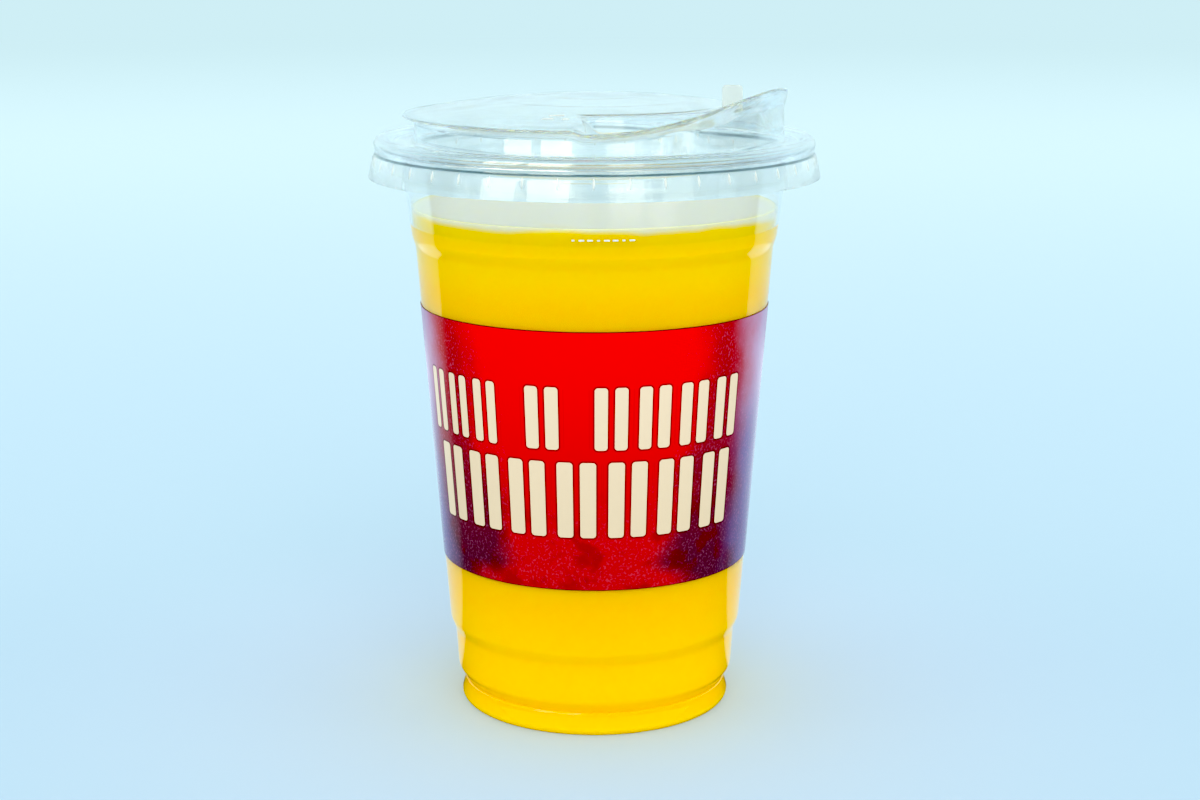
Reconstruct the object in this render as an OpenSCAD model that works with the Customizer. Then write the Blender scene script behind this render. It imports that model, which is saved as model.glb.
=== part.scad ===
// Clear takeaway cup of orange juice with a press-on sip lid and a printed wrap label.
// Millimetres, +Z up. The origin is at the middle of the foot ring, on the surface it stands on.

/* [Cup] */
// Outer radius of the straight wall where it starts, above the foot
wall_low_r = 31.95; // [31.5:0.05:32.4]
// Outer radius of the straight wall where it ends, under the stacking shoulder
wall_high_r = 38.3; // [37.9:0.05:38.6]
// Height at which the straight wall starts
wall_low_z = 18.7; // [17.5:0.1:20]
// Height at which the straight wall ends
wall_high_z = 101.2; // [99:0.1:103]
// Thickness of the cup's sheet
cup_t = 0.5; // [0.4:0.05:0.6]
// Outer radius of the foot ring where it bulges most
foot_r = 29.5; // [29:0.1:30]
// Height of the raised floor's underside over the surface it stands on
floor_z = 2.6; // [2:0.1:3.2]
// Outer radius of the upper wall where it meets the rim's flare
neck_r = 41.1; // [40.6:0.1:41.4]
// Radius to the middle of the rim's curl
curl_mid_r = 44.9; // [44.6:0.1:45]
// Height of the middle of the rim's curl
curl_mid_z = 122.65; // [122.2:0.05:122.7]
// Outer radius of the rim's curl, seen in section
curl_r = 1.1; // [0.9:0.05:1.15]

/* [Juice] */
// Height of the juice's surface
juice_z = 109.5; // [80:0.5:112]

/* [Label] */
// Height of the label's lower edge
label_low_z = 33.4; // [25:0.1:40]
// Height of the label's upper edge
label_high_z = 88.6; // [80:0.1:95]
// Thickness of the label
label_t = 0.15; // [0.1:0.01:0.3]

/* [Lid] */
// Thickness of the lid's sheet
lid_t = 0.45; // [0.35:0.05:0.5]
// Outer radius of the skirt's lower edge
skirt_r = 48; // [47.6:0.1:48.6]
// Height of the skirt's lower edge
skirt_z = 115.95; // [115:0.05:117]
// Outer radius of the band that grips the rim
band_r = 46.85; // [46.7:0.05:47.1]
// Height of the groove's floor, between the band and the neck
groove_z = 123.15; // [123.1:0.05:123.3]
// Radius of the neck under the lip
lid_neck_r = 38.2; // [37.8:0.1:38.6]
// Radius of the lip's edge
lip_r = 40.9; // [40.5:0.1:41.3]
// Height of the lip's edge away from the spout
lip_z = 128.7; // [128.2:0.1:129.2]
// Height of the dome's middle over the lip's edge
dome_h = 4.1; // [3:0.1:4.6]

/* [Spout] */
// Direction that the spout faces, counted from +X towards +Y
spout_az = -24; // [-40:1:0]
// Height of the spout's edge over the trough's lip
spout_h = 7.15; // [6:0.05:8]
// Angle from the spout's middle to where its edge has come down to the trough's lip
spout_half = 68; // [60:1:70]
// Angle from the spout's middle to the trough's end
trough_half = 73; // [72:1:76]
// How much lower the lip runs beside the trough
trough_drop = 0.75; // [0.4:0.05:1]
// Radius of the dome's edge over the trough
trough_r = 28; // [26:0.5:29]
// How far the wall under the spout stands out from the neck
bulge = 2.1; // [1.5:0.1:2.3]
// Length of the sip hole along the lip
sip_l = 14; // [10:0.5:16]
// Width of the sip hole across the lip
sip_w = 6; // [5.7:0.1:6.2]
// Radius at which the middle of the sip hole lies
sip_r = 36.2; // [36:0.1:36.4]

/* [Tab] */
// Width of the upright tab
tab_w = 4.2; // [3:0.1:6]
// Height of the tab's top
tab_z = 135.7; // [134:0.1:136]
// Place of the tab's middle along X
tab_x = 28.4; // [27.8:0.1:29]
// Place of the tab along Y
tab_y = -13; // [-13.5:0.1:-12.5]

/* [Hidden] */
smooth_fn = 160;                 // facets that only the preview shows
lid_segments = 90;               // steps around the lid
foot_inner_r = 26.6;             // where the foot ring's flat starts
foot_rest_r = 28.2;              // where the foot ring's flat leaves the surface
foot_round_r = foot_r - foot_rest_r;
foot_steps = 5;                  // steps around the foot ring's round edge
floor_r = foot_inner_r - 0.6;    // where the raised floor turns down to the foot ring
floor_top_z = floor_z + cup_t;
groove_low_z = 4.2;              // lower and upper ends of the groove over the foot ring
groove_high_z = 5.2;
step_low_z = 7.6;                // lower and upper ends of the steep band over the groove
step_high_z = 16.3;
shoulder_w = 0.7;                // how far the stacking shoulder steps out
shoulder_h = 1.8;                // and how high it is
flare_z = 119.6;                 // where the upper wall meets the rim's flare
curl_end = -60;                  // direction at which the rim's curl ends
curl_steps = 12;
hole_low_z = 128;                // under the sheet where the sip hole is
hole_high_z = 138;               // over the sheet where the sip hole is
skirt_top_z = skirt_z + 4.3;     // where the skirt meets the band
band_mid_z = 122.8;              // where the band is widest
gutter_r = 43.3;                 // outer and inner radius of the groove's floor
gutter_inner_r = 41.4;
neck_lean = 0.2;                 // half of what the neck leans in over its height
lip_drop = 1.05;                 // from the lip's edge down to the crease under it
crease_climb = 0.71;             // share of the spout's rise that the crease follows
lip_run_r = lip_r - 1.5;         // where the deck starts, inside the lip's edge
ramp_high_r = 36.4;              // radii where the trough's floor changes slope
ramp_mid_r = 33;
ramp_foot_r = trough_r + 1.2;
trough_z = lip_z - 1.55;         // height of the trough's floor where it doesn't climb
trough_blend = 10;               // degrees over which the deck goes down into the trough
lip_blend = 4;                   // degrees over which the lip goes down beside it
bulge_half = 48;                 // degrees from the spout's middle to where the bulge ends
bulge_lean = 8;                  // how many degrees nearer it ends at the top
bulge_blend = 5;
lip_climb = 0.97;                // shares of the spout's rise that the trough's floor follows
high_climb = 0.86;               // at the four radii
mid_climb = 0.5;
foot_climb = 0.08;
dome_ring_r = [20, 10];          // radii of the dome's inner rings
tab_corner = 0.8;                // round of the tab's upper corners, and its steps
tab_steps = 8;

// Outer radius of the cup's straight wall at height z
function wall_r(z) = wall_low_r
  + (wall_high_r - wall_low_r) * (z - wall_low_z) / (wall_high_z - wall_low_z);

// Points on an arc about [mid_r, mid_z], from angle a to angle b
function arc(mid_r, mid_z, r, a, b, n) =
  [for (i = [0:n]) let (t = a + (b - a) * i / n) [mid_r + r * cos(t), mid_z + r * sin(t)]];

// The outside of the wall, from the foot's flat up to the rim's flare.
// Going up it has the foot ring, a groove, a step out, a steep band, the straight wall
// and the stacking shoulder.
wall_line = [
  [foot_r - 0.75, groove_low_z],
  [foot_r - 0.85, groove_high_z],
  [foot_r + 0.8, step_low_z],
  [foot_r + 1.4, step_high_z],
  [wall_low_r, wall_low_z],
  [wall_high_r, wall_high_z],
  [wall_high_r + shoulder_w, wall_high_z + shoulder_h],
  [neck_r, flare_z],
];
outside = concat(
  arc(foot_rest_r, foot_round_r, foot_round_r, -90, 0, foot_steps),
  wall_line);

// The inside, one sheet's thickness in. From the raised floor's edge it goes down into the
// foot ring, which the drink fills, and then up the wall to the same flare.
inside = concat(
  [
    [floor_r + cup_t, floor_top_z],
    [foot_inner_r + cup_t, cup_t],
  ],
  arc(foot_rest_r, foot_round_r, foot_round_r - cup_t, -90, 0, foot_steps),
  [for (p = wall_line) [p[0] - cup_t, p[1]]]);

// The drink's side, which is the inside up to its surface
function side_below(z) = let (
    top = len([for (p = inside) if (p[1] < z) 1]),
    a = inside[top - 1],
    b = inside[top])
  concat(
    [for (i = [0:top - 1]) inside[i]],
    [[a[0] + (b[0] - a[0]) * (z - a[1]) / (b[1] - a[1]), z]]);

function reversed(list) = [for (i = [len(list) - 1:-1:0]) list[i]];

module cup() {
  color([0.86, 0.94, 0.97, 0.35])
    rotate_extrude($fn = smooth_fn)
      polygon(concat(
        [[0, floor_z], [floor_r, floor_z], [foot_inner_r, 0]],
        outside,
        arc(curl_mid_r, curl_mid_z, curl_r - cup_t, 180, curl_end, curl_steps),
        arc(curl_mid_r, curl_mid_z, curl_r, curl_end, 180, curl_steps),
        reversed(inside),
        [[0, floor_top_z]]));
}

module juice() {
  color([1, 0.79, 0.02])
    rotate_extrude($fn = smooth_fn)
      polygon(concat([[0, floor_top_z]], side_below(juice_z), [[0, juice_z]]));
}

module label() {
  color([0.79, 0.06, 0.1])
    rotate_extrude($fn = smooth_fn)
      polygon([
        [wall_r(label_low_z), label_low_z],
        [wall_r(label_low_z) + label_t, label_low_z],
        [wall_r(label_high_z) + label_t, label_high_z],
        [wall_r(label_high_z), label_high_z],
      ]);
}

// Angle between a direction and the spout's, from 0 to 180
function from_spout(az) = let (d = abs(az - spout_az) % 360) min(d, 360 - d);

function smooth(t) = let (c = max(0, min(1, t))) c * c * (3 - 2 * c);

function mix(a, b, t) = a + (b - a) * t;

// How far the lip is raised at an angle from the spout, from 0 to 1
function raised(d) = d >= spout_half ? 0 : (1 + cos(180 * d / spout_half)) / 2;

// 1 along the trough and 0 away from it. It changes over blend degrees, as far as trough_half.
function trough(d, blend) = smooth((trough_half - d) / blend);

// 1 where the wall stands out under the spout. Its edge leans: it is nearer the middle higher up.
function bulging(d, share_up) = smooth((bulge_half - bulge_lean * share_up - d) / bulge_blend);

function dome_z(r) = lip_z + dome_h * (1 - pow(r / lip_r, 2));

// A point of the top between the lip and the middle: the dome, cut down along the trough,
// where the floor climbs by climb times the spout's rise
function deck(r, d, floor_at, climb) =
  [r, mix(dome_z(r), floor_at + climb * spout_h * raised(d), trough(d, trough_blend))];

// The lid's upper surface along one direction, from the skirt's lower edge to near the middle
function section(az) = let (
    d = from_spout(az),
    up = spout_h * raised(d),
    low = trough_drop * trough(d, lip_blend),
    crease_z = lip_z - lip_drop - low + crease_climb * up,
    edge_z = lip_z - low + up)
  concat(
    [
      [skirt_r, skirt_z],
      [skirt_r - 0.9, skirt_top_z],
      [band_r - 0.5, skirt_top_z + 0.9],
      [band_r - 0.08, band_mid_z - 0.9],
      [band_r, band_mid_z],
      [band_r - 0.4, band_mid_z + 1],
      [band_r - 1.35, band_mid_z + 1.6],
      [band_r - 2.4, band_mid_z + 1.5],
      [gutter_r + 0.5, groove_z + 0.6],
      [gutter_r, groove_z],
      [gutter_inner_r, groove_z],
      [lid_neck_r + 0.4 + (bulge - neck_lean) * bulging(d, 0), groove_z],
      [lid_neck_r + neck_lean + (bulge - neck_lean) * bulging(d, 0.2), groove_z + 0.7],
      [lid_neck_r - neck_lean + bulge * bulging(d, 1), crease_z - 0.5],
      [mix(lid_neck_r + 0.4, lip_r - 0.5, bulging(d, 1)), crease_z],
      [lip_r, edge_z],
      [lip_r - 0.5, edge_z + 0.15],
      deck(lip_run_r, d, edge_z - up - 0.5, lip_climb),
      deck(ramp_high_r, d, trough_z, high_climb),
      deck(ramp_mid_r, d, trough_z, mid_climb),
      deck(ramp_foot_r, d, trough_z, foot_climb),
      [trough_r, dome_z(trough_r)],
    ],
    [for (r = dome_ring_r) [r, dome_z(r)]]);

// The same line moved one sheet's thickness down and in, square to its own direction
function under(line) = [for (i = [0:len(line) - 1]) let (
    a = line[max(i - 1, 0)],
    b = line[min(i + 1, len(line) - 1)],
    along = (b - a) / norm(b - a))
  line[i] - lid_t * [along[1], -along[0]]];

function spun(line, az) = [for (p = line) [p[0] * cos(az), p[0] * sin(az), p[1]]];

// A closed sheet: each direction's upper line and lower line, and one point on the axis for each
module lid_sheet() {
  upper = [for (i = [0:lid_segments - 1]) section(360 * i / lid_segments)];
  rows = len(upper[0]);
  step = 2 * rows;
  points = concat(
    [for (i = [0:lid_segments - 1]) each concat(
      spun(upper[i], 360 * i / lid_segments),
      spun(under(upper[i]), 360 * i / lid_segments))],
    [[0, 0, dome_z(0)], [0, 0, dome_z(0) - lid_t]]);
  pole = step * lid_segments;
  faces = [for (i = [0:lid_segments - 1]) let (
      a = step * i,
      b = step * ((i + 1) % lid_segments))
    each concat(
      [for (k = [0:rows - 2]) each [
        [a + k, a + k + 1, b + k + 1],
        [a + k, b + k + 1, b + k],
        [a + rows + k, b + rows + k + 1, a + rows + k + 1],
        [a + rows + k, b + rows + k, b + rows + k + 1]]],
      [
        [a, b, b + rows],
        [a, b + rows, a + rows],
        [a + rows - 1, pole, b + rows - 1],
        [a + step - 1, b + step - 1, pole + 1],
      ])];
  polyhedron(points = points, faces = faces);
}

// A slot with round ends, through the sheet on the inner side of the spout's edge
module sip_hole() {
  rotate([0, 0, spout_az])
    translate([sip_r, 0, hole_low_z])
      linear_extrude(height = hole_high_z - hole_low_z)
        union() {
          square([sip_w, sip_l - sip_w], center = true);
          for (side = [-1, 1])
            translate([0, side * (sip_l - sip_w) / 2])
              circle(d = sip_w, $fn = smooth_fn);
        }
}

// Height of the trough's floor at a place on its first slope
function ramp_z(x, y) = let (
    d = from_spout(atan2(y, x)),
    share = (norm([x, y]) - ramp_foot_r) / (ramp_mid_r - ramp_foot_r),
    foot = deck(ramp_foot_r, d, trough_z, foot_climb)[1])
  mix(foot, deck(ramp_mid_r, d, trough_z, mid_climb)[1], share);

// A short tongue of the same sheet, bent upright, with round upper corners.
// Its lower edge follows the trough's slope, halfway into the sheet.
module tab() {
  left = tab_x - tab_w / 2;
  right = tab_x + tab_w / 2;
  translate([0, tab_y, 0])
    rotate([90, 0, 0])
      linear_extrude(height = lid_t)
        polygon(concat(
          [[left, ramp_z(left, tab_y) - lid_t / 2], [right, ramp_z(right, tab_y) - lid_t / 2]],
          arc(right - tab_corner, tab_z - tab_corner, tab_corner, 0, 90, tab_steps),
          arc(left + tab_corner, tab_z - tab_corner, tab_corner, 90, 180, tab_steps)));
}

module lid() {
  color([0.88, 0.95, 0.98, 0.35])
    difference() {
      union() {
        lid_sheet();
        tab();
      }
      sip_hole();
    }
}

cup();
juice();
label();
lid();
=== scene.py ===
"""Looks for the takeaway cup of orange juice: clear cup, juice, wrap label and press-on sip lid."""

import math

import bmesh
import bpy
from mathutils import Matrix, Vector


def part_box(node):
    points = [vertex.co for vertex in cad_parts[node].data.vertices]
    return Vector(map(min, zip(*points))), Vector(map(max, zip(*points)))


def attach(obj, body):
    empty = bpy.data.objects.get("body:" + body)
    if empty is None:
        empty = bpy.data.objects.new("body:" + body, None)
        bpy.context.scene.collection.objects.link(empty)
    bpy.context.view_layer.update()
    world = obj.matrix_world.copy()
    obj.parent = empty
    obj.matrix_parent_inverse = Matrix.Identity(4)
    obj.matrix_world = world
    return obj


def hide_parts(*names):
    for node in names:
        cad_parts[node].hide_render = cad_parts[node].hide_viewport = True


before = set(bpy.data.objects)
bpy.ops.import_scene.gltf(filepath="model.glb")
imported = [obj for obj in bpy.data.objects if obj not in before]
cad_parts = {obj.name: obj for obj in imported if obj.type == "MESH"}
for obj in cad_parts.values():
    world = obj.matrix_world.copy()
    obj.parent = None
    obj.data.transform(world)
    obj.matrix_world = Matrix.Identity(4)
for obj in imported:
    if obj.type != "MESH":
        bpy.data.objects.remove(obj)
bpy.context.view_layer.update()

MM = 0.001
TURN = 360

# Heights and radii in millimetres that the frame gives
LABEL_LOW_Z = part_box("label")[0].z / MM
LABEL_HIGH_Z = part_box("label")[1].z / MM
JUICE_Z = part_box("juice")[1].z / MM
CUP_TOP_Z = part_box("cup")[1].z / MM
SKIRT_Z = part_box("lid")[0].z / MM
SKIRT_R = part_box("lid")[1].x / MM
TAB_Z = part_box("lid")[1].z / MM

# The cup's sheet, in millimetres
CUP_T = 0.5
FOOT_R = 29.5
FOOT_REST_R = 28.2
FOOT_INNER_R = 26.6
FLOOR_R = 26.0
FLOOR_Z = 2.6
WALL_LOW = (31.95, 18.7)
WALL_HIGH = (38.3, 101.2)
NECK = (41.1, 119.6)
CURL_R = 1.1
CURL_MID = (44.9, CUP_TOP_Z - CURL_R)
GRIP_IN = 0.75
GRIP_LOW_Z = 4.2
GRIP_HIGH_Z = 5.2
STEEP_LOW_Z = 7.6
STEEP_HIGH_Z = 16.3
SHOULDER = (WALL_HIGH[0] + 0.7, WALL_HIGH[1] + 1.8)

# The marks on the cup's neck
MARKS = 8
MARKS_Z = 107.3
MARKS_FIRST_AZ = -96
MARKS_SPREAD = 17

# The label, and the heights, round corners and gaps of the bars printed on it
LABEL_T = 0.15
UPPER_BARS = (63.8, 77.0)
LOWER_BARS = (45.0, 61.2)
BAR_CORNER = 0.7
BAR_GAP = 1.45

# The lid's sheet
LID_T = 0.45
BAND_R = 46.85
GROOVE_Z = 123.15
GROOVE_OUT_R = 43.3
GROOVE_IN_R = 41.4
LID_NECK_R = 38.2
LIP_R = 40.9
LIP_Z = 128.7
DOME_H = 4.1
LUGS = 42
LUG_LOW = 2.3
LUG_HIGH = 4.5
SKIRT_LEAN = 0.9
SKIRT_H = 4.3

# The spout
SPOUT_AZ = -24
SPOUT_H = 7.15
SPOUT_HALF = 68
TROUGH_HALF = 73
TROUGH_BLEND = 10
LIP_BLEND = 4
TROUGH_Z = LIP_Z - 1.55
TROUGH_DROP = 0.75
TROUGH_R = 28
RAMP_FOOT_R = 29.2
RAMP_MID_R = 33
RAMP_HIGH_R = 36.4
BULGE = 2.1
BULGE_HALF = 48

# Share of the spout's height that the trough's floor climbs, from the ramp's foot out to the lip
FOOT_CLIMB = 0.08
MID_CLIMB = 0.5
HIGH_CLIMB = 0.86
LIP_CLIMB = 0.97

# The sip hole
SIP_L = 14
SIP_W = 6
SIP_R = 36.2

# The tab
TAB_W = 4.2
TAB_X = 28.4
TAB_Y = -13
TAB_CORNER = 0.8
TAB_LEAN = math.tan(math.radians(-2))

# The camera, in metres and degrees, as solved from the photo
CAMERA_PLACE = (0.001185, -0.4667, 0.17057)
CAMERA_DIP = 12.578
CAMERA_LENS = 65.76

# The pale blue that the floor and the room both reach far from the cup
FAR = (0.522, 0.711, 0.758, 1)


# ---------------------------------------------------------------- outlines

def arc(mid, r, start, end, steps):
    """Points on an arc about mid, from one angle to another."""
    turns = [math.radians(start + (end - start) * i / steps) for i in range(steps + 1)]
    return [(mid[0] + r * math.cos(t), mid[1] + r * math.sin(t)) for t in turns]


def between(a, b, t):
    return tuple(p + (q - p) * t for p, q in zip(a, b))


def rounded(line, r, steps=3):
    """The line with each corner replaced by a curve that starts up to r before it."""
    points = [line[0]]
    for before, corner, after in zip(line, line[1:], line[2:]):
        cut_in = min(0.5, r / max(math.dist(before, corner), 1e-9))
        cut_out = min(0.5, r / max(math.dist(corner, after), 1e-9))
        a, b = between(corner, before, cut_in), between(corner, after, cut_out)
        for i in range(steps + 1):
            t = i / steps
            points.append(between(between(a, corner, t), between(corner, b, t), t))
    points.append(line[-1])
    return points


def filled(line, longest):
    """The line with extra points on its long stretches, so that shading stays even."""
    points = [line[0]]
    for a, b in zip(line, line[1:]):
        parts = max(1, math.ceil(math.dist(a, b) / longest))
        points += [between(a, b, i / parts) for i in range(1, parts + 1)]
    return points


def wall_r(z):
    """Outer radius of the cup's straight wall at a height."""
    share = (z - WALL_LOW[1]) / (WALL_HIGH[1] - WALL_LOW[1])
    return WALL_LOW[0] + (WALL_HIGH[0] - WALL_LOW[0]) * share


def cup_side():
    """The wall's outside from the foot's round up to the rim's flare."""
    return [
        (FOOT_R, FOOT_R - FOOT_REST_R),
        (FOOT_R - GRIP_IN, GRIP_LOW_Z),
        (FOOT_R - GRIP_IN - 0.1, GRIP_HIGH_Z),
        (FOOT_R + 0.8, STEEP_LOW_Z),
        (FOOT_R + 1.4, STEEP_HIGH_Z),
        WALL_LOW,
        WALL_HIGH,
        SHOULDER,
        NECK,
        (CURL_MID[0] - CURL_R, CURL_MID[1]),
    ]


def moved_in(line, by):
    return [(r - by, z) for r, z in line]


# ---------------------------------------------------------------- meshes

def piece(name, verts, faces, material, smooth=True):
    """A mesh object from points in millimetres."""
    mesh = bpy.data.meshes.new(name)
    mesh.from_pydata([tuple(MM * c for c in v) for v in verts], [], faces)
    mesh.validate()
    obj = bpy.data.objects.new(name, mesh)
    bpy.context.scene.collection.objects.link(obj)
    mesh.materials.append(material)
    mesh.polygons.foreach_set("use_smooth", [smooth] * len(mesh.polygons))
    return obj


def lathe(name, line, material, segments=256, closed=False):
    """The line turned about Z. Points on the axis become one point each."""
    verts, rings = [], []
    for r, z in line:
        if r < 1e-6:
            rings.append([len(verts)] * segments)
            verts.append((0, 0, z))
        else:
            rings.append(list(range(len(verts), len(verts) + segments)))
            for i in range(segments):
                t = 2 * math.pi * i / segments
                verts.append((r * math.cos(t), r * math.sin(t), z))
    if closed:
        rings.append(rings[0])
    faces = []
    for low, high in zip(rings, rings[1:]):
        for i in range(segments):
            j = (i + 1) % segments
            corners = [low[i], low[j], high[j], high[i]]
            corners = [c for k, c in enumerate(corners) if c != corners[k - 1]]
            if len(corners) > 2:
                faces.append(corners)
    obj = piece(name, verts, faces, material)
    tidy_normals(obj)
    even_shading(obj)
    return obj


def tidy_normals(obj):
    """Makes every face look outward."""
    bm = bmesh.new()
    bm.from_mesh(obj.data)
    bmesh.ops.recalc_face_normals(bm, faces=bm.faces)
    bm.to_mesh(obj.data)
    bm.free()


def even_shading(obj):
    """Shades each point after its largest faces, so that flat stretches stay flat up to their edges."""
    weigh = obj.modifiers.new("even_shading", "WEIGHTED_NORMAL")
    weigh.mode = "FACE_AREA"
    weigh.weight = 50


def cut(obj, cutter):
    """Takes cutter's shape out of obj."""
    boolean = obj.modifiers.new("cut", "BOOLEAN")
    boolean.operation = "DIFFERENCE"
    boolean.solver = "EXACT"
    boolean.object = cutter
    bpy.context.view_layer.update()
    shape = obj.evaluated_get(bpy.context.evaluated_depsgraph_get())
    mesh = bpy.data.meshes.new_from_object(shape)
    obj.modifiers.remove(boolean)
    obj.data = mesh
    bpy.data.objects.remove(cutter)
    mesh.polygons.foreach_set("use_smooth", [True] * len(mesh.polygons))


# ---------------------------------------------------------------- materials

def linear(r, g, b):
    """A screen colour as the linear colour that shaders use."""
    def channel(v):
        v /= 255
        return v / 12.92 if v <= 0.04045 else ((v + 0.055) / 1.055) ** 2.4
    return (channel(r), channel(g), channel(b), 1)


class Graph:
    """A material's node tree, with short calls for the nodes used here."""

    def __init__(self, tree):
        self.tree = tree
        tree.nodes.clear()
        self.output = tree.nodes.new("ShaderNodeOutputMaterial")

    def node(self, kind, **settings):
        made = self.tree.nodes.new(kind)
        for name, value in settings.items():
            setattr(made, name, value)
        return made

    def put(self, value, socket):
        """Links value to the socket, or sets it there."""
        if isinstance(value, bpy.types.NodeSocket):
            self.tree.links.new(value, socket)
        else:
            socket.default_value = value

    def math(self, operation, *values):
        made = self.node("ShaderNodeMath", operation=operation)
        for value, socket in zip(values, made.inputs):
            self.put(value, socket)
        return made.outputs[0]

    def step(self, value, low, high):
        """0 at low, 1 at high, and a smooth change between. Where high is under low it falls."""
        made = self.node("ShaderNodeMapRange", interpolation_type="SMOOTHSTEP")
        self.put(value, made.inputs["Value"])
        self.put(low, made.inputs["From Min"])
        self.put(high, made.inputs["From Max"])
        return made.outputs["Result"]

    def mix(self, share, a, b):
        """a where share is 0 and b where it is 1."""
        made = self.node("ShaderNodeMix", data_type="RGBA")
        for value, name in ((share, "Factor_Float"), (a, "A_Color"), (b, "B_Color")):
            self.put(value, next(s for s in made.inputs if s.identifier == name))
        return next(s for s in made.outputs if s.identifier == "Result_Color")

    def place(self):
        """Object coordinates and their three parts."""
        point = self.node("ShaderNodeTexCoord").outputs["Object"]
        parts = self.node("ShaderNodeSeparateXYZ")
        self.put(point, parts.inputs[0])
        return point, parts.outputs["X"], parts.outputs["Y"], parts.outputs["Z"]

    def length(self, x, y):
        squares = [self.math("MULTIPLY", side, side) for side in (x, y)]
        return self.math("SQRT", self.math("ADD", *squares))

    def noise(self, point, size_mm, detail=2.0, stretch=(1, 1, 1)):
        """Noise whose features are about size_mm wide, 0 to 1."""
        mapping = self.node("ShaderNodeMapping")
        self.put(point, mapping.inputs["Vector"])
        mapping.inputs["Scale"].default_value = tuple(s / (size_mm * MM) for s in stretch)
        made = self.node("ShaderNodeTexNoise")
        self.put(mapping.outputs[0], made.inputs["Vector"])
        made.inputs["Scale"].default_value = 1
        made.inputs["Detail"].default_value = detail
        return made.outputs["Fac"]

    def bump(self, height, depth_mm):
        made = self.node("ShaderNodeBump")
        made.inputs["Strength"].default_value = 1
        made.inputs["Distance"].default_value = depth_mm * MM
        self.put(height, made.inputs["Height"])
        return made.outputs[0]


def new_material(name):
    material = bpy.data.materials.new(name)
    material.use_nodes = True
    return material, Graph(material.node_tree)


def clear_plastic(name, tint, ior, ripple_mm, unbent, painted_line_z=None):
    """Clear PET sheet. Lamps and diffuse light pass straight through it, and so do rays that have
    bounced too long inside and a share of all light, as the real sheet is thinner than the modelled
    one. At a fold's height a grey line is painted, standing in for the shade that the fold shows."""
    material, g = new_material(name)
    point, x, y, z = g.place()
    shell = g.node("ShaderNodeBsdfPrincipled")
    colour = tint
    # A painted grey line stands in for the shade that the fold shows.
    if painted_line_z:
        off = g.math("ABSOLUTE", g.math("SUBTRACT", z, painted_line_z * MM))
        colour = g.mix(g.step(off, 0.34 * MM, 0.12 * MM), tint, linear(88, 122, 132))
    g.put(colour, shell.inputs["Base Color"])
    shell.inputs["Transmission Weight"].default_value = 1
    shell.inputs["IOR"].default_value = ior
    flow = g.noise(point, 9, 1.0, (1, 1, 0.35))
    grain = g.noise(point, 0.7, 2.0)
    g.put(g.math("MULTIPLY_ADD", grain, 0.02, 0.02), shell.inputs["Roughness"])
    g.put(g.bump(flow, ripple_mm), shell.inputs["Normal"])
    passing = g.node("ShaderNodeBsdfTransparent")
    passing.inputs["Color"].default_value = (0.97, 0.985, 0.99, 1)
    path = g.node("ShaderNodeLightPath")
    most_bends = 5
    lamps = g.math("MAXIMUM", path.outputs["Is Shadow Ray"], path.outputs["Is Diffuse Ray"])
    trapped = g.math("GREATER_THAN", path.outputs["Ray Depth"], most_bends + 0.5)
    either = g.node("ShaderNodeMixShader")
    straight = g.math("MAXIMUM", g.math("MAXIMUM", lamps, trapped), unbent)
    g.put(straight, either.inputs[0])
    g.put(shell.outputs[0], either.inputs[1])
    g.put(passing.outputs[0], either.inputs[2])
    g.put(either.outputs[0], g.output.inputs["Surface"])
    return material


def frosted_plastic(name, tint, clear):
    """The same sheet where it is pressed rough: it scatters light and looks pale."""
    material, g = new_material(name)
    point = g.place()[0]
    shader = g.node("ShaderNodeBsdfPrincipled")
    shader.inputs["Base Color"].default_value = tint
    shader.inputs["Transmission Weight"].default_value = clear
    shader.inputs["IOR"].default_value = 1.5
    g.put(g.math("MULTIPLY_ADD", g.noise(point, 0.5, 2.0), 0.2, 0.3), shader.inputs["Roughness"])
    g.put(shader.outputs[0], g.output.inputs["Surface"])
    return material


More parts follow.
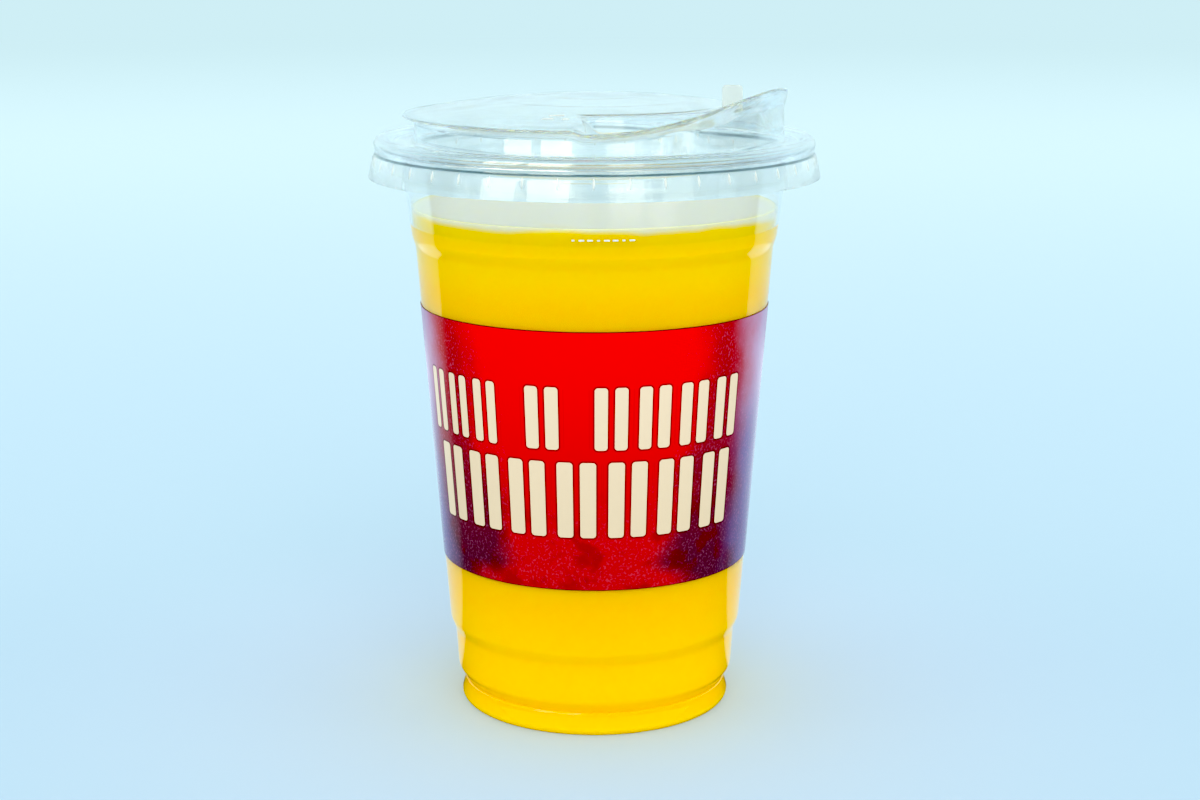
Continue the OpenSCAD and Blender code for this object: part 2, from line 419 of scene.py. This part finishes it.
def juice_material():
    """Cloudy orange juice: lemon yellow near the top and deeper below, where the deepest orange round the
    label's height is painted bounce light from the red label; pale froth on the surface that hangs unevenly
    down the wall. A painted glow, strongest near the bottom, stands in for the light that shines through
    it."""
    material, g = new_material("juice")
    point, x, y, z = g.place()
    ring, foot, label_bounce_below, label_bounce = (linear(255, tone, 0) for tone in (188, 196, 187, 189))
    bright, lemon = linear(255, 205, 0), linear(230, 200, 0)
    # The deeper orange round the label's height is painted bounce light from the red label.
    body = g.mix(g.step(z, 0.004, 0.012), ring, foot)
    body = g.mix(g.step(z, 0.018, 0.036), body, label_bounce_below)
    body = g.mix(g.step(z, 0.030, 0.088), body, label_bounce)
    body = g.mix(g.step(z, 0.090, 0.101), body, bright)
    body = g.mix(g.step(z, 0.101, (JUICE_Z - 2) * MM), body, lemon)
    pulp = g.step(g.noise(point, 0.9, 3.0), 0.35, 0.75)
    body = g.mix(g.math("MULTIPLY", pulp, 0.07), body, linear(255, 216, 30))
    pale = linear(202, 202, 184)
    raised = g.math("MULTIPLY_ADD", g.noise(point, 30, 3.0, (1, 1, 0)), 4 * MM, z)
    body = g.mix(g.step(raised, (JUICE_Z + 0.2) * MM, (JUICE_Z + 1.7) * MM), body, pale)
    reach = g.length(x, y)
    froth = g.mix(g.step(reach, 0.020, 0.038), linear(214, 211, 168), linear(206, 202, 146))
    specks = g.step(g.noise(point, 2.2, 3.0, (1, 1, 0)), 0.52, 0.70)
    froth = g.mix(g.math("MULTIPLY", specks, 0.35), froth, linear(228, 226, 196))
    top = g.step(z, (JUICE_Z - 0.12) * MM, (JUICE_Z - 0.04) * MM)
    colour = g.mix(top, body, froth)
    shader = g.node("ShaderNodeBsdfPrincipled")
    g.put(colour, shader.inputs["Base Color"])
    shader.inputs["Roughness"].default_value = 0.12
    shader.inputs["IOR"].default_value = 1.34
    shader.inputs["Specular IOR Level"].default_value = 0.1
    # Painted glow: the juice gives off light, strongest near the bottom, in place of light shining through
    # it.
    shader.inputs["Emission Color"].default_value = (1.0, 0.66, 0.01, 1)
    painted_glow = g.math("MULTIPLY", g.step(z, 0.106, 0.094), 0.045)
    painted_glow = g.math("MULTIPLY_ADD", g.step(z, 0.045, 0.0), 0.09, painted_glow)
    painted_glow = g.math("MULTIPLY_ADD", g.step(z, 0.018, 0.009), 0.02, painted_glow)
    g.put(painted_glow, shader.inputs["Emission Strength"])
    shader.inputs["Subsurface Weight"].default_value = 1
    shader.inputs["Subsurface Radius"].default_value = (1.0, 0.8, 0.3)
    shader.inputs["Subsurface Scale"].default_value = 0.006
    g.put(g.bump(g.noise(point, 1.4, 3.0), 0.03), shader.inputs["Normal"])
    g.put(shader.outputs[0], g.output.inputs["Surface"])
    return material


def stripes(g, around, z, groups, low_mm, high_mm):
    """Distance in millimetres to the nearest upright stripe. Each group is the directions that it
    lies between and how many stripes it has."""
    per_degree = math.pi / 180 * wall_r((low_mm + high_mm) / 2)
    up = g.math("SUBTRACT", g.math("DIVIDE", z, MM), (low_mm + high_mm) / 2)
    up = g.math("SUBTRACT", g.math("ABSOLUTE", up), (high_mm - low_mm) / 2 - BAR_CORNER)
    up = g.math("MAXIMUM", up, 0)
    nearest = 99.0  # millimetres, more than any distance on the label
    for first, last, count in groups:
        along = g.math("MULTIPLY", g.math("SUBTRACT", around, first), per_degree)
        cell = (last - first) * per_degree / count
        side = g.math("SUBTRACT", g.math("WRAP", along, cell, 0), cell / 2)
        side = g.math("SUBTRACT", g.math("ABSOLUTE", side), (cell - BAR_GAP) / 2 - BAR_CORNER)
        side = g.math("MAXIMUM", side, 0)
        distance = g.math("SUBTRACT", g.length(side, up), BAR_CORNER)
        beyond = g.math("ABSOLUTE", g.math("SUBTRACT", around, (first + last) / 2))
        beyond = g.math("SUBTRACT", beyond, (last - first) / 2)
        distance = g.math("MAXIMUM", distance, g.math("MULTIPLY", beyond, per_degree))
        nearest = g.math("MINIMUM", nearest, distance)
    return nearest


def pairs(first, count, pitch):
    """Groups of two stripes, side by side from a first direction on."""
    return [(first + pitch * i, first + pitch * (i + 0.9), 2) for i in range(count)]


def label_material():
    """Glossy printed film: a red field that fades to maroon and violet round the sides, with two
    rows of cream bars in front and a thin seam at the back."""
    material, g = new_material("label_print")
    point, x, y, z = g.place()
    around = g.math("MULTIPLY", g.math("ARCTAN2", x, g.math("MULTIPLY", y, -1)), 180 / math.pi)
    height = g.step(z, LABEL_LOW_Z * MM, LABEL_HIGH_Z * MM)
    cloud = g.math("SUBTRACT", g.noise(point, 14, 3.0), 0.5)
    away = g.math("ABSOLUTE", g.math("ADD", around, 4))
    away = g.math("MULTIPLY_ADD", cloud, 26, away)
    edge = g.math("MULTIPLY_ADD", height, 14, 30)
    edge = g.math("MULTIPLY_ADD", g.step(z, 0.039, 0.034), 12, edge)
    past = g.math("SUBTRACT", away, edge)
    core = g.mix(height, linear(194, 48, 56), linear(240, 20, 30))
    maroon = g.mix(height, linear(88, 48, 66), linear(180, 44, 54))
    violet = g.mix(g.step(height, 0.45, 0.95), linear(104, 84, 144), linear(178, 144, 184))
    violet = g.mix(g.step(away, 85, 125), violet, linear(112, 84, 148))
    print_colour = g.mix(g.step(past, -8, 8), core, maroon)
    print_colour = g.mix(g.step(away, 53, 75), print_colour, violet)
    grain = g.noise(point, 0.5, 2.0)
    low_part = g.step(height, 0.45, 0.05)
    # Pink specks on the sides and the lower part are painted glints.
    speck = g.step(grain, 0.50, 0.72)
    spread = g.math("MAXIMUM", g.step(past, -24, 10), g.math("MULTIPLY", low_part, 0.6))
    painted_glint_share = g.math("MULTIPLY", speck, spread)
    print_colour = g.mix(g.math("MULTIPLY", painted_glint_share, 0.24), print_colour, linear(206, 120, 165))
    blotch = g.step(g.noise(point, 5, 3.0), 0.50, 0.66)
    blotch = g.math("MULTIPLY", g.math("MULTIPLY", blotch, low_part), g.step(away, 70, 50))
    blotch = g.math("MULTIPLY", blotch, 0.45)
    print_colour = g.mix(blotch, print_colour, linear(120, 6, 22))
    upper = pairs(-70, 3, 12.8) + pairs(-24, 1, 15) + pairs(-1, 4, 14.6)
    lower = pairs(-66, 7, 17.4)
    rows = g.math(
        "MINIMUM",
        stripes(g, around, z, upper, *UPPER_BARS),
        stripes(g, around, z, lower, *LOWER_BARS),
    )
    outline = g.step(rows, 0.45, 0.25)
    print_colour = g.mix(g.math("MULTIPLY", outline, 0.55), print_colour, linear(70, 0, 12))
    cream = g.mix(height, linear(224, 204, 174), linear(236, 214, 186))
    print_colour = g.mix(g.step(rows, 0.04, -0.04), print_colour, cream)
    from_low = g.math("SUBTRACT", z, LABEL_LOW_Z * MM)
    from_high = g.math("SUBTRACT", LABEL_HIGH_Z * MM, z)
    rim = g.math("MINIMUM", from_low, from_high)
    print_colour = g.mix(g.step(rim, 0.24 * MM, 0.12 * MM), print_colour, linear(112, 40, 40))
    seam = g.step(g.math("ABSOLUTE", around), 179.3, 179.6)
    print_colour = g.mix(g.math("MULTIPLY", seam, 0.5), print_colour, linear(60, 40, 70))
    shader = g.node("ShaderNodeBsdfPrincipled")
    g.put(print_colour, shader.inputs["Base Color"])
    g.put(g.math("MULTIPLY_ADD", grain, 0.10, 0.14), shader.inputs["Roughness"])
    shader.inputs["IOR"].default_value = 1.45
    shader.inputs["Specular IOR Level"].default_value = 0.18
    g.put(g.bump(g.noise(point, 3.0, 2.0), 0.02), shader.inputs["Normal"])
    g.put(shader.outputs[0], g.output.inputs["Surface"])
    return material


def floor_material():
    """Plain pale blue-white paper that melts into the room far away, with painted light: darker near
    the camera, brighter far off, and a painted pool of light round the cup. In what shines the paper is
    painted too: dark in front of the cup and glowing behind it, in place of a studio's black cards."""
    material, g = new_material("floor_paper")
    point, x, y, z = g.place()
    # Painted light: darker near the camera and brighter far behind the cup, where more light falls.
    near, far = linear(173, 204, 224), linear(196, 222, 230)
    tone = g.mix(g.step(y, -0.4, 1.4), near, far)
    fleck = g.noise(point, 6, 3.0)
    tone = g.mix(g.math("MULTIPLY", fleck, 0.04), tone, linear(165, 196, 220))
    reach = g.length(x, y)
    # A painted pool of light round the cup, lighter towards its foot.
    tone = g.mix(g.step(reach, 0.16, 0.03), tone, linear(186, 211, 231))
    # Painted reflections: for reflected rays only, the paper in front of the cup is painted dark.
    turned = g.math("ARCTAN2", g.math("ABSOLUTE", x), g.math("MULTIPLY", y, -1))
    start = g.math("MULTIPLY_ADD", g.step(reach, 0.08, 0.25), math.radians(8), math.radians(107))
    behind = g.step(g.math("SUBTRACT", turned, start), math.radians(-2), math.radians(3))
    mirrored = g.node("ShaderNodeLightPath").outputs["Is Glossy Ray"]
    painted_dark_reflection = g.math("MULTIPLY", mirrored, g.math("SUBTRACT", 1, behind))
    tone = g.mix(painted_dark_reflection, tone, linear(80, 90, 96))
    shader = g.node("ShaderNodeBsdfPrincipled")
    g.put(tone, shader.inputs["Base Color"])
    shader.inputs["Roughness"].default_value = 0.9
    shader.inputs["Specular IOR Level"].default_value = 0
    shader.inputs["Emission Color"].default_value = (0.9, 0.97, 1.0, 1)
    # Painted glow on the paper behind the cup, seen only in reflections.
    painted_glow = g.math("MULTIPLY", g.math("MULTIPLY", mirrored, behind), g.step(reach, 0.42, 0.34))
    strength = g.math("MULTIPLY_ADD", g.step(reach, 0.12, 0.22), 0.38, 0.10)
    g.put(g.math("MULTIPLY", painted_glow, strength), shader.inputs["Emission Strength"])
    haze = g.node("ShaderNodeEmission")
    haze.inputs["Color"].default_value = FAR
    either = g.node("ShaderNodeMixShader")
    far_away = g.math("MULTIPLY", g.step(reach, 0.9, 2.6), g.math("SUBTRACT", 1, painted_dark_reflection))
    g.put(far_away, either.inputs[0])
    g.put(shader.outputs[0], either.inputs[1])
    g.put(haze.outputs[0], either.inputs[2])
    g.put(either.outputs[0], g.output.inputs["Surface"])
    return material


# ---------------------------------------------------------------- cup

def side_line(by):
    """The cup's outside moved in, from the middle of the floor through the foot ring to the rim's flare."""
    foot_round_r = FOOT_R - FOOT_REST_R
    base = [(0, FLOOR_Z + by), (FLOOR_R + by, FLOOR_Z + by), (FOOT_INNER_R + by, by), (FOOT_REST_R, by)]
    turn = arc((FOOT_REST_R, foot_round_r), foot_round_r - by, -90, 0, 8)
    wall = rounded(filled(moved_in(cup_side(), by), 9), 0.7)
    return rounded(base, 0.25)[:-1] + turn[:-1] + wall


def make_cup(material):
    line = (
        side_line(0)[:-1]
        + arc(CURL_MID, CURL_R - CUP_T, 180, -60, 24)
        + arc(CURL_MID, CURL_R, -60, 180, 32)[:-1]
        + side_line(CUP_T)[::-1]
    )
    return lathe("cup_shell", line, material)


def make_juice(material):
    """The drink, out to the middle of the cup's sheet, with a small rise where it meets the wall."""
    side = [p for p in side_line(CUP_T / 2) if p[1] < JUICE_Z - 0.4]
    top_r = side[-1][0] + 0.1
    line = side + [(top_r, JUICE_Z), (top_r - 0.4, JUICE_Z - 0.02), (top_r - 1.2, JUICE_Z - 0.08)]
    line += [(top_r * (1 - i / 12), JUICE_Z - 0.1) for i in range(1, 12)]
    line += [(0, JUICE_Z - 0.1)]
    return lathe("juice_body", line, material)


def make_label(material):
    """The wrap label, with soft edges. Its print has the seam where its ends meet at the back."""
    low, high = LABEL_LOW_Z, LABEL_HIGH_Z
    inner, outer, soft = 0.02, LABEL_T, 0.05

    def at(z, out):
        return (wall_r(z) + out, z)

    heights = [low + (high - low) * i / 12 for i in range(13)]
    outside = [at(low + soft, outer)] + [at(z, outer) for z in heights[1:-1]] + [at(high - soft, outer)]
    line = [at(low, inner), at(low, outer - soft)] + outside + [at(high, outer - soft), at(high, inner)]
    return lathe("wrap_label", line, material, closed=True)


# ---------------------------------------------------------------- lid

def mix(a, b, t):
    return a + (b - a) * t


def smooth(t):
    c = max(0, min(1, t))
    return c * c * (3 - 2 * c)


def from_spout(az):
    """Angle between a direction and the spout's, 0 to 180."""
    d = abs(az - SPOUT_AZ) % TURN
    return min(d, TURN - d)


def raised(d):
    """How far the lip is raised at an angle from the spout, 0 to 1."""
    return 0 if d >= SPOUT_HALF else (1 + math.cos(math.pi * d / SPOUT_HALF)) / 2


def trough(d, blend):
    """1 along the trough and 0 away from it."""
    return smooth((TROUGH_HALF - d) / blend)


def bulging(d, share_up):
    """How far the neck bulges out under the spout, 0 to 1. The bulge narrows upwards."""
    return smooth((BULGE_HALF - 8 * share_up - d) / 5)


def dome_z(r):
    return LIP_Z + DOME_H * (1 - (r / LIP_R) ** 2)


def deck(r, d, floor_at, climb):
    """A point of the top between lip and middle: the dome, cut down along the trough."""
    return (r, mix(dome_z(r), floor_at + climb * SPOUT_H * raised(d), trough(d, TROUGH_BLEND)))


def section(az):
    """The lid's upper surface along one direction, from the skirt's edge to near the middle."""
    d = from_spout(az)
    up = SPOUT_H * raised(d)
    low = TROUGH_DROP * trough(d, LIP_BLEND)
    crease_z = LIP_Z - 1.05 - low + 0.71 * up
    edge_z = LIP_Z - low + up
    return [
        (SKIRT_R, SKIRT_Z),
        (SKIRT_R - SKIRT_LEAN, SKIRT_Z + SKIRT_H),
        (BAND_R - 0.5, GROOVE_Z - 2),
        (BAND_R - 0.08, GROOVE_Z - 1.25),
        (BAND_R, GROOVE_Z - 0.35),
        (BAND_R - 0.4, GROOVE_Z + 0.65),
        (BAND_R - 1.35, GROOVE_Z + 1.25),
        (BAND_R - 2.4, GROOVE_Z + 1.15),
        (GROOVE_OUT_R + 0.5, GROOVE_Z + 0.6),
        (GROOVE_OUT_R, GROOVE_Z),
        (GROOVE_IN_R, GROOVE_Z),
        (LID_NECK_R + 0.4 + (BULGE - 0.2) * bulging(d, 0), GROOVE_Z),
        (LID_NECK_R + 0.2 + (BULGE - 0.2) * bulging(d, 0.2), GROOVE_Z + 0.7),
        (LID_NECK_R - 0.2 + BULGE * bulging(d, 1), crease_z - 0.5),
        (mix(LID_NECK_R + 0.4, LIP_R - 0.5, bulging(d, 1)), crease_z),
        (LIP_R, edge_z),
        (LIP_R - 0.5, edge_z + 0.15),
        deck(LIP_R - 1.5, d, edge_z - up - 0.5, LIP_CLIMB),
        deck(RAMP_HIGH_R, d, TROUGH_Z, HIGH_CLIMB),
        deck(RAMP_MID_R, d, TROUGH_Z, MID_CLIMB),
        deck(RAMP_FOOT_R, d, TROUGH_Z, FOOT_CLIMB),
        (TROUGH_R, dome_z(TROUGH_R)),
        (20, dome_z(20)),
        (10, dome_z(10)),
        (0, dome_z(0)),
    ]


def under(line, by):
    """The same line moved down and in, square to its own direction."""
    moved = []
    for i, p in enumerate(line):
        a, b = line[max(i - 1, 0)], line[min(i + 1, len(line) - 1)]
        length = math.dist(a, b)
        along = ((b[0] - a[0]) / length, (b[1] - a[1]) / length)
        moved.append((p[0] - by * along[1], p[1] + by * along[0]))
    return moved


def spun(line, az):
    t = math.radians(az)
    return [(r * math.cos(t), r * math.sin(t), z) for r, z in line]


def lid_sheet(material, segments=TURN):
    """The formed sheet: an upper and a lower surface joined round the skirt's edge."""
    verts = []
    for i in range(segments):
        az = TURN * i / segments
        line = section(az)
        upper = rounded(line, 0.55)
        lower = rounded(under(line, LID_T), 0.55)
        rows = len(upper) - 1
        verts += spun(upper[:-1], az) + spun(lower[:-1], az)
    step = 2 * rows
    top, bottom = len(verts), len(verts) + 1
    verts += [(0, 0, dome_z(0)), (0, 0, dome_z(0) - LID_T)]
    faces = []
    for i in range(segments):
        a, b = step * i, step * ((i + 1) % segments)
        for k in range(rows - 1):
            faces.append((a + k, b + k, b + k + 1, a + k + 1))
            faces.append((a + rows + k, a + rows + k + 1, b + rows + k + 1, b + rows + k))
        faces.append((a, a + rows, b + rows, b))
        faces.append((a + rows - 1, b + rows - 1, top))
        faces.append((a + step - 1, bottom, b + step - 1))
    return piece("lid_shell", verts, faces, material)


def sip_cutter():
    """A slot with round ends, standing through the sheet."""
    half = (SIP_L - SIP_W) / 2
    outline = arc((0, half), SIP_W / 2, 0, 180, 24) + arc((0, -half), SIP_W / 2, 180, 360, 24)
    turn = math.radians(SPOUT_AZ)
    verts = []
    for z in (LIP_Z - 2, TAB_Z + 3):
        for u, v in outline:
            u += SIP_R
            verts.append((u * math.cos(turn) - v * math.sin(turn),
                          u * math.sin(turn) + v * math.cos(turn), z))
    n = len(outline)
    faces = [tuple(range(n))[::-1], tuple(range(n, 2 * n))]
    faces += [(i, (i + 1) % n, n + (i + 1) % n, n + i) for i in range(n)]
    cutter = piece("sip_cutter", verts, faces, None, smooth=False)
    tidy_normals(cutter)
    return cutter


def make_lid(material):
    lid = lid_sheet(material)
    tidy_normals(lid)
    cut(lid, sip_cutter())
    even_shading(lid)
    return lid


def make_lugs(material):
    """Small frosted ribs inside the skirt that grip under the cup's rim."""
    verts, faces = [], []
    rows, sides = 7, 8
    for i in range(LUGS):
        middle = TURN * (i + 0.5) / LUGS
        base = len(verts)
        for k in range(rows):
            share = k / (rows - 1)
            z = mix(SKIRT_Z + LUG_LOW, SKIRT_Z + LUG_HIGH, share)
            r = SKIRT_R - LID_T - SKIRT_LEAN * (z - SKIRT_Z) / SKIRT_H
            fat = math.sin(math.pi * (0.06 + 0.88 * share))
            for s in range(sides):
                t = 2 * math.pi * s / sides
                out = r + 0.1 - 0.32 * fat * math.cos(t)
                turn = math.radians(middle + 0.36 * fat * math.sin(t))
                verts.append((out * math.cos(turn), out * math.sin(turn), z))
        for k in range(rows - 1):
            for s in range(sides):
                a, b = base + k * sides, base + (k + 1) * sides
                n = (s + 1) % sides
                faces.append((a + s, a + n, b + n, b + s))
        faces.append(tuple(base + s for s in range(sides)))
        faces.append(tuple(base + (rows - 1) * sides + s for s in range(sides)))
    lugs = piece("lid_lugs", verts, faces, material)
    tidy_normals(lugs)
    return lugs


def low_bump(frame_at, length, width, height):
    """Points and faces of a low pill: frame_at gives the place for a point along, across and out."""
    rings, sides = 5, 16
    verts, faces = [], []
    for k in range(rings):
        lift = math.sin(math.pi / 2 * k / (rings - 1))
        shrink = math.cos(math.pi / 2 * k / rings)
        for s in range(sides):
            t = 2 * math.pi * s / sides
            bend = (length - width) / 2 * (1 if math.cos(t) > 0 else -1)
            verts.append(frame_at(bend + width / 2 * shrink * math.cos(t),
                                  width / 2 * shrink * math.sin(t), height * lift))
    for k in range(rings - 1):
        for s in range(sides):
            n = (s + 1) % sides
            faces.append((k * sides + s, k * sides + n, (k + 1) * sides + n, (k + 1) * sides + s))
    faces.append(tuple((rings - 1) * sides + s for s in range(sides)))
    faces.append(tuple(range(sides))[::-1])
    return verts, faces


def joined(name, shapes, material):
    verts, faces = [], []
    for points, sides in shapes:
        base = len(verts)
        verts += points
        faces += [tuple(base + i for i in side) for side in sides]
    obj = piece(name, verts, faces, material)
    tidy_normals(obj)
    return obj


def make_cup_marks(material):
    """A row of plain raised dashes just under the juice's surface."""
    shapes = []
    r = mix(SHOULDER[0], NECK[0], (MARKS_Z - SHOULDER[1]) / (NECK[1] - SHOULDER[1]))
    for i in range(MARKS):
        az = math.radians(MARKS_FIRST_AZ + MARKS_SPREAD * i / (MARKS - 1))

        def at(along, across, out):
            t = az + along / r
            return ((r + out) * math.cos(t), (r + out) * math.sin(t), MARKS_Z + across)

        shapes.append(low_bump(at, 1.25 if i % 3 else 0.7, 0.42, 0.14))
    return joined("cup_marks", shapes, material)


def make_lid_marks(material):
    """Three plain raised dashes on the dome, near its front edge."""
    shapes = []
    for mid_x, mid_y, length in ((-9.2, -30.5, 2.4), (-5.6, -31.2, 1.6), (-7.4, -28.0, 3.2)):
        def at(along, across, out):
            x, y = mid_x + along, mid_y + across
            return (x, y, dome_z(math.hypot(x, y)) + out)

        shapes.append(low_bump(at, length, 0.6, 0.12))
    return joined("lid_marks", shapes, material)


def ramp_z(x, y):
    """Height of the trough's floor at a place on its first slope."""
    d = from_spout(math.degrees(math.atan2(y, x)))
    share = (math.hypot(x, y) - RAMP_FOOT_R) / (RAMP_MID_R - RAMP_FOOT_R)
    foot = deck(RAMP_FOOT_R, d, TROUGH_Z, FOOT_CLIMB)[1]
    return mix(foot, deck(RAMP_MID_R, d, TROUGH_Z, MID_CLIMB)[1], share)


def make_tab(material):
    """The upright tongue of the same sheet, with round upper corners. It leans forward a little."""
    left, right = TAB_X - TAB_W / 2, TAB_X + TAB_W / 2
    outline = [(left, ramp_z(left, TAB_Y) - LID_T / 2), (right, ramp_z(right, TAB_Y) - LID_T / 2)]
    outline += arc((right - TAB_CORNER, TAB_Z - TAB_CORNER), TAB_CORNER, 0, 90, 8)
    outline += arc((left + TAB_CORNER, TAB_Z - TAB_CORNER), TAB_CORNER, 90, 180, 8)
    n = len(outline)
    foot_z = outline[0][1]
    verts = [(x, TAB_Y - LID_T * side + TAB_LEAN * (z - foot_z), z)
             for side in (0, 1) for x, z in outline]
    faces = [tuple(range(n)), tuple(range(n, 2 * n))]
    faces += [(i, (i + 1) % n, n + (i + 1) % n, n + i) for i in range(n)]
    tab = piece("lid_tab", verts, faces, material, smooth=False)
    tidy_normals(tab)
    edge = tab.modifiers.new("edge", "BEVEL")
    edge.width = 0.1 * MM
    edge.segments = 3
    return tab


# ---------------------------------------------------------------- stage, lights, camera

def make_floor():
    half = 9000
    steps = 6
    verts = [(half * (2 * i / steps - 1), half * (2 * j / steps - 1), 0)
             for j in range(steps + 1) for i in range(steps + 1)]
    faces = [(j * (steps + 1) + i, j * (steps + 1) + i + 1,
              (j + 1) * (steps + 1) + i + 1, (j + 1) * (steps + 1) + i)
             for j in range(steps) for i in range(steps)]
    floor = piece("floor", verts, faces, floor_material(), smooth=False)


def facing(place, look_at):
    """The turn that points a lamp at look_at."""
    ahead = [b - a for a, b in zip(place, look_at)]
    flat = math.hypot(ahead[0], ahead[1])
    return (math.atan2(flat, -ahead[2]), 0, math.atan2(-ahead[0], ahead[1]))


def window(name, place, look_at, size, radiance, colour):
    """A rectangular lamp that lights nothing and shows only as a reflection in what shines."""
    lamp = bpy.data.lights.new(name, "AREA")
    lamp.shape = "RECTANGLE"
    lamp.size, lamp.size_y = size
    lamp.energy = radiance * math.pi * size[0] * size[1]
    lamp.color = colour
    obj = bpy.data.objects.new(name, lamp)
    bpy.context.scene.collection.objects.link(obj)
    obj.location = place
    obj.rotation_euler = facing(place, look_at)
    obj.visible_camera = False
    obj.visible_diffuse = False


def daylight(name, place, look_at, wide, strength, colour):
    """A soft light from far away, `wide` degrees across, that lights and isn't mirrored."""
    lamp = bpy.data.lights.new(name, "SUN")
    lamp.energy = strength
    lamp.color = colour
    lamp.angle = math.radians(wide)
    obj = bpy.data.objects.new(name, lamp)
    bpy.context.scene.collection.objects.link(obj)
    obj.location = place
    obj.rotation_euler = facing(place, look_at)
    obj.visible_glossy = False
    obj.visible_transmission = False
    obj.visible_camera = False


def around(distance, az_from_front, height):
    """A place seen from the cup, az counted from the camera's side towards +X."""
    t = math.radians(az_from_front)
    return (distance * math.sin(t), -distance * math.cos(t), height)


def room(tree):
    """Even light for matt surfaces, pale blue for the camera. What shines sees a room: pale at the
    horizon, dim above and in front."""
    tree.nodes.clear()

    def node(kind, **settings):
        made = tree.nodes.new(kind)
        for name, value in settings.items():
            setattr(made, name, value)
        return made

    def ramp(value, low, high):
        made = node("ShaderNodeMapRange", interpolation_type="SMOOTHSTEP")
        tree.links.new(value, made.inputs["Value"])
        made.inputs["From Min"].default_value = low
        made.inputs["From Max"].default_value = high
        return made.outputs["Result"]

    def blend(share, a, b):
        made = node("ShaderNodeMixRGB")
        tree.links.new(share, made.inputs[0])
        for value, socket in ((a, made.inputs[1]), (b, made.inputs[2])):
            if isinstance(value, tuple):
                socket.default_value = value
            else:
                tree.links.new(value, socket)
        return made.outputs[0]

    parts = node("ShaderNodeSeparateXYZ")
    tree.links.new(node("ShaderNodeTexCoord").outputs["Generated"], parts.inputs[0])
    horizon, ceiling = (0.64, 0.84, 0.90, 1), (0.46, 0.60, 0.66, 1)
    behind_camera = (0.46, 0.58, 0.62, 1)
    seen = blend(ramp(parts.outputs["Z"], 0.35, 0.75), horizon, ceiling)
    seen = blend(ramp(parts.outputs["Y"], 0.10, -0.45), seen, behind_camera)
    path = node("ShaderNodeLightPath")
    colour = blend(path.outputs["Is Diffuse Ray"], seen, (0.94, 0.965, 0.97, 1))
    colour = blend(path.outputs["Is Camera Ray"], colour, FAR)
    sky = node("ShaderNodeBackground")
    tree.links.new(colour, sky.inputs["Color"])
    tree.links.new(sky.outputs[0], node("ShaderNodeOutputWorld").inputs["Surface"])


def make_light():
    world = bpy.data.worlds.new("studio")
    bpy.context.scene.world = world
    world.use_nodes = True
    room(world.node_tree)
    middle = (0, 0, 0.08)
    cream = (1.0, 0.93, 0.74)
    window("window_left", around(0.5, -47, 0.27), middle, (0.17, 0.34), 3.4, cream)
    window("window_middle", around(0.5, -22, 0.27), middle, (0.19, 0.34), 3.4, cream)
    window("window_right", around(0.5, 15.5, 0.27), middle, (0.155, 0.34), 1.4, cream)
    warm = (1.0, 0.82, 0.5)
    daylight("side_left", around(0.6, -80, 0.23), middle, 32, 0.23, warm)
    daylight("side_right", around(0.6, 80, 0.23), middle, 32, 0.23, warm)
    daylight("front_fill", around(2.2, 0, 0.75), middle, 55, 0.47, (1.0, 0.86, 0.64))
    daylight("high_fill", around(1.6, 10, 1.5), middle, 40, 0.35, (1.0, 0.98, 0.95))


def make_camera():
    lens = bpy.data.cameras.new("camera")
    lens.lens = CAMERA_LENS
    lens.sensor_width = 36
    lens.clip_start = 0.01
    camera = bpy.data.objects.new("camera", lens)
    bpy.context.scene.collection.objects.link(camera)
    camera.location = CAMERA_PLACE
    camera.rotation_euler = (math.radians(90 - CAMERA_DIP), 0, 0)
    bpy.context.scene.camera = camera


def main():
    cup_plastic = clear_plastic("cup_clear", linear(253, 254, 254), 1.5, 0.02, 0)
    lid_plastic = clear_plastic("lid_clear", linear(252, 254, 254), 1.55, 0.03, 0.15, SKIRT_Z + 5.0)
    frosted = frosted_plastic("frosted", linear(250, 254, 250), 0.35)
    tab_plastic = frosted_plastic("tab", linear(252, 252, 246), 0.8)
    pieces = [
        (make_cup(cup_plastic), "cup_clear", ["cup"]),
        (make_juice(juice_material()), "juice", ["juice"]),
        (make_label(label_material()), "label_print", ["label"]),
        (make_lid(lid_plastic), "lid_clear", ["lid"]),
        (make_lugs(frosted), "lid_clear", []),
        (make_lid_marks(frosted), "lid_clear", []),
        (make_cup_marks(frosted), "cup_clear", []),
        (make_tab(tab_plastic), "lid_clear", []),
    ]
    for obj, slot, nodes in pieces:
        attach(obj, "root")
        if nodes:
            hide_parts(*nodes)
    make_floor()
    make_light()
    make_camera()
    scene = bpy.context.scene
    scene.view_settings.view_transform = "Standard"
    scene.view_settings.exposure = 0.3
    scene.view_settings.use_curve_mapping = True
    grade = scene.view_settings.curve_mapping
    grade.black_level = (0.030, 0.036, 0.045)
    grade.update()
    scene.cycles.max_bounces = 20
    scene.cycles.transmission_bounces = 20
    scene.cycles.transparent_max_bounces = 24
    scene.cycles.diffuse_bounces = 4
    scene.cycles.glossy_bounces = 8


main()
